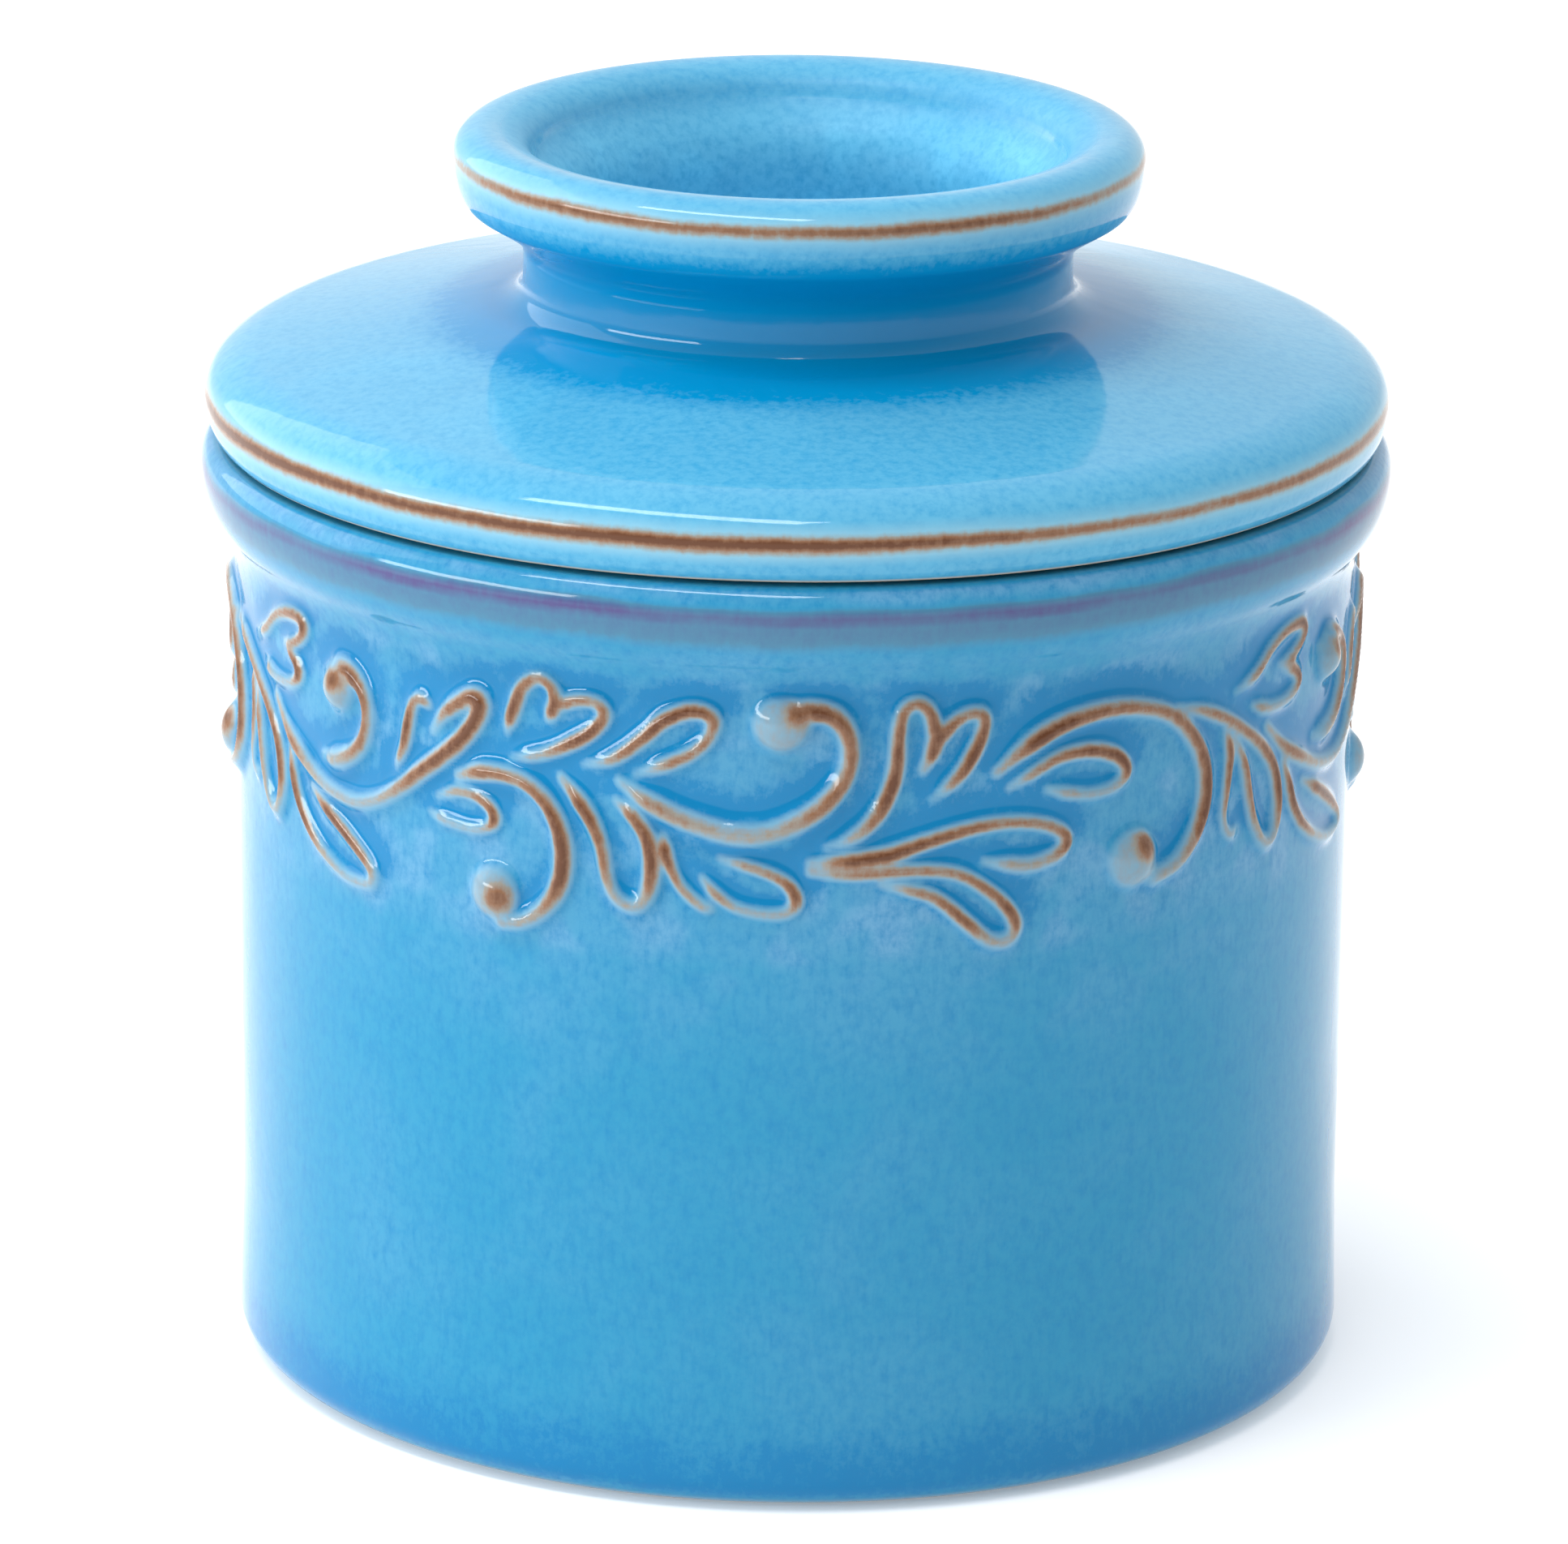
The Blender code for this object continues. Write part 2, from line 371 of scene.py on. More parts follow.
LEAF_LINES = (
    Stroke(((-79.0, 71.2), (-75.5, 70.4), (-72.0, 69.0), (-69.0, 67.3), (-66.2, 65.4), (-64.0, 63.2),
            (-63.0, 60.9), (-62.9, 58.4), (-63.9, 56.3), (-65.6, 56.4), (-67.3, 58.7), (-68.2, 61.4),
            (-69.1, 64.5), (-70.6, 67.2))),
    Stroke(((-71.9, 68.0), (-71.2, 65.5), (-71.6, 62.3), (-72.0, 59.7), (-71.1, 58.1), (-69.6, 58.4)), 0.84),
    Stroke(((-64.8, 66.8), (-61.8, 64.4), (-58.3, 62.6), (-54.8, 61.2), (-51.3, 60.5), (-48.2, 60.5),
            (-45.2, 61.4), (-42.5, 62.9), (-40.0, 64.7), (-37.0, 66.8), (-34.4, 68.9), (-32.6, 71.0),
            (-32.0, 72.6), (-33.0, 73.0), (-34.6, 72.2), (-36.6, 70.8), (-38.2, 68.9)), 1.32),
    Stroke(((-43.2, 64.6), (-41.9, 66.8), (-41.4, 68.8), (-40.7, 70.9), (-39.7, 71.7), (-38.6, 71.2)), 0.97),
    Stroke(((-61.6, 63.2), (-60.6, 60.9), (-59.3, 58.3), (-56.9, 55.9), (-53.9, 54.2), (-50.2, 53.1),
            (-46.8, 53.2), (-46.4, 54.4), (-48.3, 55.8), (-51.0, 57.3), (-54.0, 58.7), (-57.0, 60.0)), 1.06),
    Stroke(((-70.4, 71.0), (-67.2, 72.2), (-64.6, 74.0), (-61.9, 75.0), (-59.2, 75.2), (-57.8, 74.6),
            (-58.6, 73.4), (-60.6, 72.4), (-62.8, 72.0)), 1.01),
    Stroke(((-62.0, 71.6), (-60.2, 71.2), (-58.9, 70.1), (-60.0, 69.0), (-62.4, 68.5), (-65.2, 68.6),
            (-67.4, 69.2)), 1.01),
    Stroke(((-23.3, 66.9), (-21.4, 65.1), (-19.9, 63.2), (-18.9, 61.0), (-18.4, 58.5), (-17.4, 56.6),
            (-15.6, 55.9), (-14.3, 57.0), (-13.8, 59.7), (-14.3, 62.3), (-15.9, 64.3), (-17.6, 65.4))),
    Stroke(((-37.7, 63.1), (-34.9, 64.0), (-32.4, 63.8), (-30.7, 62.7), (-30.9, 61.5), (-33.0, 60.8),
            (-36.0, 61.0), (-38.7, 61.5)), 0.88),
    Stroke(((-29.3, 70.0), (-28.4, 72.4), (-27.4, 74.6), (-25.6, 75.7), (-24.1, 74.9), (-23.9, 73.4),
            (-24.7, 72.0)), 1.06),
    Stroke(((-24.0, 73.0), (-21.9, 74.0), (-19.6, 74.1), (-18.6, 73.1), (-19.9, 71.5), (-22.4, 70.0),
            (-25.4, 68.7), (-28.9, 68.0)), 1.01),
    Stroke(((-21.1, 68.3), (-17.9, 69.1), (-14.9, 71.2), (-12.6, 73.1), (-9.8, 74.1), (-7.8, 73.5),
            (-8.2, 71.8), (-9.8, 70.3), (-12.3, 69.1), (-15.6, 67.9)), 1.1),
    Stroke(((-12.8, 62.6), (-12.1, 60.1), (-10.8, 57.9), (-9.0, 56.5), (-7.6, 56.1)), 0.92),
    Stroke(((-8.9, 59.0), (-7.5, 57.6), (-5.5, 56.4), (-2.8, 55.9), (-0.6, 56.0), (0.4, 56.9),
            (-0.1, 58.3), (-1.6, 59.3), (-4.0, 60.1), (-7.2, 60.8)), 0.97),
    Stroke(((3.2, 62.0), (5.6, 62.8), (7.6, 64.2), (9.1, 66.4), (10.0, 69.1), (10.2, 72.2),
            (10.7, 74.2), (11.9, 74.9), (13.1, 74.2), (13.8, 72.2), (13.7, 70.6), (12.7, 68.7)), 1.19),
    Stroke(((14.2, 70.9), (15.2, 72.5), (17.1, 73.6), (18.7, 73.4), (18.6, 71.8), (17.6, 69.8),
            (16.1, 67.9), (13.6, 66.0)), 1.1),
    Stroke(((21.4, 66.4), (24.1, 67.7), (26.9, 68.8), (30.2, 69.0), (33.2, 68.2), (34.6, 66.8),
            (33.7, 65.5), (31.2, 65.0), (28.2, 65.3), (25.7, 65.9)), 1.06),
    Stroke(((1.6, 60.6), (4.5, 60.7), (9.1, 61.2), (12.6, 62.1), (16.6, 63.0), (20.1, 63.4),
            (23.6, 63.2), (26.5, 62.4), (27.8, 61.2), (26.7, 59.9), (24.1, 59.3), (21.6, 59.5),
            (19.0, 60.0)), 1.14),
    Stroke(((1.6, 59.7), (5.1, 59.5), (9.6, 59.7), (13.6, 59.6), (16.6, 59.0), (19.1, 57.6),
            (21.4, 55.7), (22.4, 53.9), (21.5, 52.6), (19.6, 52.8), (17.6, 54.3), (15.6, 56.0),
            (13.6, 57.3), (11.1, 58.0), (8.6, 58.5)), 1.1),
)

# Knops: degrees, millimetres up, radius in millimetres, and where the brown spot is as shares of it
KNOPS = ((-51.6, 70.4, 2.3, 0.2, 0.4), (-30.6, 55.4, 2.6, 0.35, -0.05), (-1.2, 73.1, 2.7, 0.6, 0.45),
         (35.6, 58.3, 2.8, 0.3, 0.45))


@dataclass(frozen=True)
class ScrollRelief:
    """A moulded band of scrolls and leaves that repeats round the crock.

    Fields:
        repeats: Number of times the pattern goes round.
        radius_mm: Radius at which degrees are turned into millimetres.
        line_height_mm: How far the raised lines stand out.
        knop_height_mm: How far the round knops stand out.
        top_mm: Upper limit of the band above the foot.
        bottom_mm: Its lower limit.
    """

    repeats: int = 3
    radius_mm: float = 51.5
    line_height_mm: float = 0.95
    knop_height_mm: float = 1.6
    top_mm: float = 78.0
    bottom_mm: float = 49.5

    @property
    def period(self) -> float:
        """Length of one repeat round the crock, in millimetres."""
        return 2 * math.pi / self.repeats * self.radius_mm

    def follow(self, stroke: Stroke, across: Array, up: Array) -> tuple[Array, Array, Array, Array]:
        """Find the nearest place on a stroke from every point.

        Args:
            stroke: The stroke.
            across: Places round the crock, in millimetres.
            up: Heights above the foot, in millimetres.

        Returns:
            The distance from the stroke, how far along it that is from 0 to 1, how much of the distance
            is upwards from -1 to 1, and the height as a share of the stroke's own rise.
        """
        points = stroke.samples()
        points[:, 0] = np.radians(points[:, 0]) * self.radius_mm
        start, along = points[:-1], np.diff(points, axis=0)
        offset = np.stack([across[:, None] - start[:, 0], up[:, None] - start[:, 1]], 2)
        offset[..., 0] = (offset[..., 0] + self.period / 2) % self.period - self.period / 2
        share = np.clip(np.sum(offset * along, 2) / np.sum(along**2, 1), 0, 1)
        offset -= share[..., None] * along
        distance = np.linalg.norm(offset, axis=2)
        index = np.argmin(distance, 1)
        picked = np.arange(len(up)), index
        distance, place = distance[picked], (index + share[picked]) / len(along)
        upwards = offset[picked][:, 1] / np.maximum(distance, 0.01)
        low, high = points[:, 1].min(), points[:, 1].max()
        return distance, place, upwards, (up - low) / (high - low)

    def carve(self, angle: Array, height: Array) -> tuple[Array, dict[str, Array]]:
        """Work out the relief and its glaze marks over one repeat.

        A line's height falls from its crest as half a cosine wave to nothing at its width, and a knop's
        as a flattened dome. Where they meet, the fourth root of the sum of fourth powers blends them,
        and the whole is softened as thick glaze softens it. Glaze wears off the crests, most where a
        stroke is high, and pools beside the lines, most above them.

        Args:
            angle: Angles round Z in radians, as a grid.
            height: Heights above the foot in metres, the same shape.

        Returns:
            How far each point stands out, in metres, and the marks worn, pool and milk.
        """
        across = (angle * self.radius_mm).ravel()
        up = (height / MM).ravel()
        raised, worn, pool = np.zeros_like(up), np.zeros_like(up), np.zeros_like(up)
        nearest = np.full_like(up, 99.0)
        for number, stroke in enumerate(SCROLL_STEMS + LEAF_LINES):
            distance, place, upwards, rise = self.follow(stroke, across, up)
            above = smooth_step(-0.5, 0.9, upwards)
            fade = smooth_step(0, 0.12, place)
            if stroke.open_end:
                fade = fade * smooth_step(0, 0.1, 1 - place)
            patch = 0.5 + 0.5 * np.sin(place * 9.0 + number * 2.4)
            width = stroke.width * (0.66 + 0.34 * fade) * (0.88 + 0.2 * patch)
            crest = np.where(distance < width, 0.5 + 0.5 * np.cos(np.pi * distance / width), 0)
            raised += (self.line_height_mm * stroke.width / 1.2 * (0.3 + 0.7 * fade) * crest) ** 4
            clear = distance - 0.7 * width
            nearest = np.minimum(nearest, clear)
            reach = smooth_step(1.0 + 3.6 * above, 0.3, clear) * smooth_step(-0.5, 0.2, clear)
            pool = np.maximum(pool, reach * (0.2 + 0.8 * above))
            pool = np.maximum(pool, 0.5 * np.exp(-(((clear - 0.25) / 0.42) ** 2)))
            wear = (0.46 + 0.5 * smooth_step(0.0, 0.35, rise) * (0.5 + 0.5 * patch)) * (0.5 + 0.5 * fade)
            worn = np.maximum(worn, smooth_step(0.05, 1.0, crest) * wear)
        for degrees, level, radius, spot_across, spot_up in KNOPS:
            aside = across - math.radians(degrees) * self.radius_mm
            aside = (aside + self.period / 2) % self.period - self.period / 2
            distance = np.hypot(aside, up - level)
            dome = np.clip(1 - (distance / radius) ** 2, 0, 1)
            raised += (self.knop_height_mm * dome**0.7) ** 4
            nearest = np.minimum(nearest, distance - radius * 0.9)
            spot = np.hypot(aside - spot_across * radius, up - level - spot_up * radius)
            brown = 0.45 * smooth_step(0.7 * radius, 0.1 * radius, spot)
            worn = np.where(dome > 0.02, 0.34 * smooth_step(0.02, 0.25, dome) + brown, worn)
        inside = smooth_step(self.bottom_mm, self.bottom_mm + 3, up)
        inside = inside * smooth_step(self.top_mm, self.top_mm - 2, up)
        marks = {
            "worn": worn,
            "pool": pool * smooth_step(-0.5, 0.3, nearest) * inside,
            "milky_glaze_and_painted_light": smooth_step(9.0, 4.0, nearest) * inside,
        }
        marks = {name: softened(values.reshape(angle.shape), 1) for name, values in marks.items()}
        return softened((raised**0.25 * MM).reshape(angle.shape), 2), marks


# ---------------------------------------------------------------- glaze


class GlazeLook(Enum):
    """The glazes on the pieces, by where they are."""

    CROCK = "crock"
    LID = "lid"
    BELL = "bell"


@dataclass(frozen=True)
class BrokenBlueGlaze:
    """Glossy sky-blue glaze, dipped over a brown-firing stoneware and fired until it ran a little.

    It gives one deep, wet surface over a colour that clouds and mottles: milky lavender where it is
    thinner, strong blue where it pools beside the relief, and over an edge it breaks from grey-blue
    through beige to the brown of the clay.

    Fields:
        look: Which piece it is on.
        blue: The usual colour.
        cloud: Milky patches, and on the lid the painted light in the knob's hollow.
        deep: Pools.
        thin: Glaze that has thinned beside an edge.
        clay: Unglazed stoneware.
        cloud_mm: Size of the milky patches.
        cloud_share: How strongly they show away from the relief.
        mottle_mm: Size of the fine mottling.
        mottle_share: How strongly it shows.
        streak_mm: Width of the runs.
        streak_length: How many times longer than wide the runs are.
        streak_share: How strongly the runs show.
        blotch: How blotchy the pools and the milky patches are.
        index: Index of refraction, below the 1.5 of real glaze so that the white surround doesn't veil
            the colour.
        gloss: Roughness of whole glaze.
        dry: Roughness where it has worn thin.
        dull: Roughness inside the hollow.
        matt: Roughness of bare clay.
    """

    look: GlazeLook
    blue: str = "2189b0"
    cloud: str = "6a9dc2"
    deep: str = "0076ab"
    thin: str = "7ea5b8"
    clay: str = "c9bfae"
    cloud_mm: float = 17.0
    cloud_share: float = 0.14
    mottle_mm: float = 0.9
    mottle_share: float = 0.5
    streak_mm: float = 0.65
    streak_length: float = 3.0
    streak_share: float = 0.5
    blotch: float = 0.9
    index: float = 1.36
    gloss: float = 0.07
    dry: float = 0.2
    dull: float = 0.42
    matt: float = 0.8

    def over_edges(self) -> tuple[tuple[float, str, float], ...]:
        """Colours over an edge as place, sRGB hex and cover: grey-blue, beige, tan and brown."""
        return ((0.06, self.thin, 0.0), (0.26, self.thin, 0.6), (0.46, "928a7c", 0.92),
                (0.64, "87634b", 1.0), (0.86, "5f3a24", 1.0))

    def over_rim(self) -> tuple[tuple[float, str, float], ...]:
        """Colours over the rim as place, sRGB hex and cover: slate, grey-violet and violet; the slate end
        also paints the shade under the rim line.
        """
        return ((0.08, "4d88ab", 0.0), (0.3, "4b7690", 0.75), (0.6, "4b6186", 0.9),
                (0.95, "4c4a7c", 1.0))

    def material(self) -> bpy.types.Material:
        """Build the glaze's material."""
        material = bpy.data.materials.new(f"dipped_blue_glaze_on_{self.look.value}")
        material.use_nodes = True
        tree = material.node_tree
        shader = tree.nodes["Principled BSDF"]
        place = add_node(tree, "ShaderNodeTexCoord").outputs["Object"]
        marks = {
            name: add_node(tree, "ShaderNodeAttribute", attribute_name=name).outputs["Fac"]
            for name in MARK_NAMES
        }

        # Milky clouds, mottling and runs, each a noise at its own real size
        clouds = noise(tree, place, self.cloud_mm, 3.0, 0.5, 0.4)
        blots = noise(tree, place, self.cloud_mm / 3.5, 1.5, 0.4)
        mottle = noise(tree, place, self.mottle_mm, 4.0, 0.62)
        stretch = add_node(tree, "ShaderNodeMapping", {
            "Vector": place, "Scale": (1.0, 1.0, 1.0 / self.streak_length)})
        streaks = noise(tree, stretch.outputs[0], self.streak_mm, 3.0, 0.6)

        # Milky glaze: broad faint clouds, and lavender patches round the relief; in the lid's hollow the
        # same patches are painted light over a shaded recess
        broad = spread(tree, clouds, 0.38, 0.72, 0.0, self.cloud_share)
        patches = spread(tree, blots, 0.44, 0.66, 0.4 - 0.2 * self.blotch, 0.4 + 0.2 * self.blotch)
        patches = reckon(tree, "MULTIPLY", patches, marks["milky_glaze_and_painted_light"])
        cloud_share = reckon(tree, "ADD", broad, patches, clamp=True)
        ground = blend(tree, cloud_share, linear(self.blue), linear(self.cloud))

        # Thick glaze: blotchy pools, and the darker grains of the mottling and the runs
        grain = spread(tree, mottle, 0.42, 0.75, 0.0, self.mottle_share, "LINEAR")
        run = spread(tree, streaks, 0.45, 0.8, 0.0, self.streak_share, "LINEAR")
        uneven = reckon(tree, "ADD", blots, mottle)
        uneven = reckon(tree, "MULTIPLY_ADD", uneven, self.blotch, -self.blotch)
        pooled = reckon(tree, "MULTIPLY", marks["pool"], reckon(tree, "ADD", uneven, 1.0))
        pooled = reckon(tree, "ADD", spread(tree, pooled, 0.05, 0.92, 0.0, 1.0), run)
        pooled = reckon(tree, "ADD", pooled, grain, clamp=True)
        layers = blend(tree, pooled, ground, linear(self.deep))

        # Glaze broken over the rim and the edges, slightly frayed by the runs and the mottling; the rim's
        # ramp also paints shade as a slate band under the rim line
        fray = reckon(tree, "MULTIPLY_ADD", reckon(tree, "ADD", streaks, mottle), 0.45, 0.55)
        worn_share = None
        for mark, stops in (("rim_violet_and_painted_shade", self.over_rim()), ("worn", self.over_edges())):
            worn_share = reckon(tree, "MULTIPLY", marks[mark], fray)
            ramp = add_node(tree, "ShaderNodeValToRGB", {"Fac": worn_share})
            elements = ramp.color_ramp.elements
            while len(elements) < len(stops):
                elements.new(0.5)
            for element, (position, colour, cover) in zip(elements, stops):
                element.position = position
                element.color = (*linear(colour)[:3], cover)
            layers = blend(tree, ramp.outputs["Alpha"], layers, ramp.outputs["Color"])
        body = blend(tree, marks["clay"], layers, linear(self.clay))
        tree.links.new(body, shader.inputs["Base Color"])

        # Glassy all over, a little drier where the clay shows, duller inside, matt where it was wiped
        rough = spread(tree, worn_share, 0.4, 1.0, self.gloss, self.dry, "LINEAR")
        for mark, value in (("dull", self.dull), ("clay", self.matt)):
            rough = add_node(tree, "ShaderNodeMix", {"Factor": marks[mark], 2: rough, 3: value},
                             data_type="FLOAT").outputs[0]
        tree.links.new(rough, shader.inputs["Roughness"])
        shader.inputs["IOR"].default_value = self.index

        # The glaze's slow waviness, and its fine orange peel
        wave = add_node(tree, "ShaderNodeBump", {
            "Height": clouds, "Strength": 0.3, "Distance": 0.5 * MM})
        peel = add_node(tree, "ShaderNodeBump", {
            "Height": mottle, "Strength": 0.08, "Distance": 0.03 * MM,
            "Normal": wave.outputs[0]})
        tree.links.new(peel.outputs[0], shader.inputs["Normal"])
        return material


# ---------------------------------------------------------------- pieces


@dataclass
class Crock:
    """The crock: upright wall with the relief, flared collar, rim, inside and foot.

    Fields are in metres unless they say otherwise; the rim's radius and height come from the frame.
    """

    columns: int = 252
    relief_columns: int = 1008
    relief_row_mm: float = 0.375
    wall: float = 0.0050
    floor: float = 0.0055
    inside_corner: float = 0.0060
    rim_flare: float = 0.0031
    rim_drop: float = 0.0025
    rim_round: float = 0.0018
    rim_inner_round: float = 0.0015
    collar_width: float = 0.0058
    collar_height: float = 0.0069
    collar_turn: float = 45.0
    waist_height: float = 0.0150
    waist_depth: float = 0.0003
    base_corner: tuple[float, float] = (0.0040, 0.0030)
    foot_ring_width: float = 0.0070
    foot_recess: float = 0.0010
    relief: ScrollRelief = field(default_factory=ScrollRelief)

    def __post_init__(self) -> None:
        """Take the rim from the frame."""
        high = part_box("crock")[1]
        self.rim_radius, self.rim_height = high[0], high[2]
        self.body_radius = self.rim_radius - self.rim_flare

    def outline(self) -> tuple[Array, Array, Array]:
        """The section above the relief, beside it and below it, from pole to pole."""
        inner = self.body_radius - self.wall
        rim_line = self.rim_height - self.rim_drop
        corner, lip = self.inside_corner, self.rim_inner_round
        floor = oval((inner - corner, self.floor + corner), (corner, corner), -90, 0, 7)
        mouth = oval((inner + lip, self.rim_height - lip), (lip, lip), 180, 90, 5)
        rim = oval((self.rim_radius - self.rim_round, rim_line), (self.rim_round, self.rim_drop), 90, 0, 9)
        collar = oval((self.rim_radius - self.collar_width, rim_line),
                      (self.collar_width, self.collar_height), 0, -self.collar_turn, 12)
        turn = math.radians(self.collar_turn)
        lean = math.atan2(self.collar_width * math.sin(turn), self.collar_height * math.cos(turn))
        cove_radius = (collar[-1, 0] - self.body_radius) / (1 - math.cos(lean))
        cove_centre = (self.body_radius + cove_radius, collar[-1, 1] - cove_radius * math.sin(lean))
        cove = oval(cove_centre, (cove_radius, cove_radius), 180 - math.degrees(lean), 180, 8)
        wall = line((self.body_radius, cove[-1, 1]),
                    (self.body_radius - self.waist_depth, self.waist_height), 40)
        wide, tall = self.base_corner
        foot_outer = self.body_radius - wide
        base = oval((foot_outer, tall), (wide, tall), 0, -90, 9)
        foot_inner = foot_outer - self.foot_ring_width
        whole = joined(
            line((0, self.floor), (inner - corner, self.floor), 5), floor,
            line((inner, self.floor + corner), (inner, self.rim_height - lip), 10), mouth, rim,
            collar, cove, wall, line(tuple(wall[-1]), tuple(base[0]), 5), base,
            line((foot_outer, 0), (foot_inner, 0), 2),
            line((foot_inner, 0), (foot_inner - self.foot_recess, self.foot_recess), 1),
            line((foot_inner - self.foot_recess, self.foot_recess), (0, self.foot_recess), 4),
        )
        outside = np.arange(len(whole)) > np.argmax(whole[:, 0])
        top, bottom = self.relief.top_mm * MM, self.relief.bottom_mm * MM
        above = whole[~(outside & (whole[:, 1] < top))]
        below = whole[outside & (whole[:, 1] < bottom)]
        beside = whole[outside & (whole[:, 1] > bottom - 0.002) & (whole[:, 1] < top + 0.002)]
        rows = int((top - bottom) / (self.relief_row_mm * MM))
        heights = np.linspace(top, bottom, rows)
        radii = np.interp(heights, beside[::-1, 1], beside[::-1, 0])
        return above, np.stack([radii, heights], 1), below

    def mark(self, rings: list[Ring], first_outside: int) -> None:
        """Mark the violet rim line, the painted shade of a slate band under it, the milky and pooled bands
        and the foot.

        Each band is a bell or a ramp of the height above or below its own line, and the rim's line
        wanders up and down a little round the crock.
        """
        rim_line = (self.rim_height - self.rim_drop) / MM
        for index, ring in enumerate(rings):
            angle, level = ring_angles(ring.columns), ring.height / MM
            wobble = 0.3 * wander(angle, (2, 5, 11, 29), 1.7)
            off_line = level - rim_line + wobble
            outside = float(index >= first_outside)
            streak = np.exp(-((off_line / 0.8) ** 2))
            # under: painted shade, a darker slate band on the collar's downward face below the rim line
            under = smooth_step(-4.2, -1.2, off_line) * smooth_step(1.2, -0.4, off_line)
            foot = np.exp(-(((level - 0.6) / 0.45) ** 2))
            broad = smooth_step(70.0, 78.0, level) * smooth_step(82.0, 79.0, level)
            lower = np.exp(-(((level - 49.0) / 6.0) ** 2)) * (0.7 + 0.3 * wander(angle, (2, 3, 7), 0.4))
            ring.marks = {
                "worn": outside * 0.3 * foot,
                "pool": outside * (0.75 * smooth_step(12.0, 2.0, level) * smooth_step(0.8, 2.2, level)
                                   + 0.35 * np.exp(-(((off_line - 3.2) / 1.2) ** 2))),
                "milky_glaze_and_painted_light": outside * (0.3 * broad + 0.45 * lower + smooth_step(0.6, 1.8, off_line)),
                # This mark holds the real violet rim line and the painted shade of the band under it
                "rim_violet_and_painted_shade": outside * np.maximum(0.42 * under,
                                              streak * (0.8 + 0.25 * wander(angle, (3, 7, 17), 2.9))),
                "clay": (level < 0.12).astype(float) * outside,
            }

    def build(self, finish: bpy.types.Material) -> bpy.types.Object:
        """Make the crock as one closed piece with the relief raised on its wall."""
        above, beside, below = self.outline()
        upper = plain_rings(above, self.columns)
        lower = plain_rings(below, self.columns)
        self.mark(upper, int(np.argmax(above[:, 0])) - 6)
        self.mark(lower, 0)

        angle = ring_angles(self.relief_columns)[: self.relief_columns // self.relief.repeats]
        grid_angle, grid_height = np.meshgrid(angle, beside[:, 1])
        raised, marks = self.relief.carve(grid_angle, grid_height)
        middle = []
        for row, (radius, height) in enumerate(beside):
            count = self.relief_columns
            out = np.tile(raised[row], self.relief.repeats)
            ring = Ring(radius + out, np.full(count, height))
            self.mark([ring], 0)
            for name, grid in marks.items():
                ring.marks[name] = np.maximum(ring.marks[name], np.tile(grid[row], self.relief.repeats))
            middle.append(ring)
        return turned_piece("stoneware_crock", upper + middle + lower, finish)


# The bells that add up to a worn line: strength, half width in millimetres, and power of the fall
WORN_BELLS = ((0.2, 1.9, 4), (0.2, 1.0, 2), (0.52, 0.55, 2))


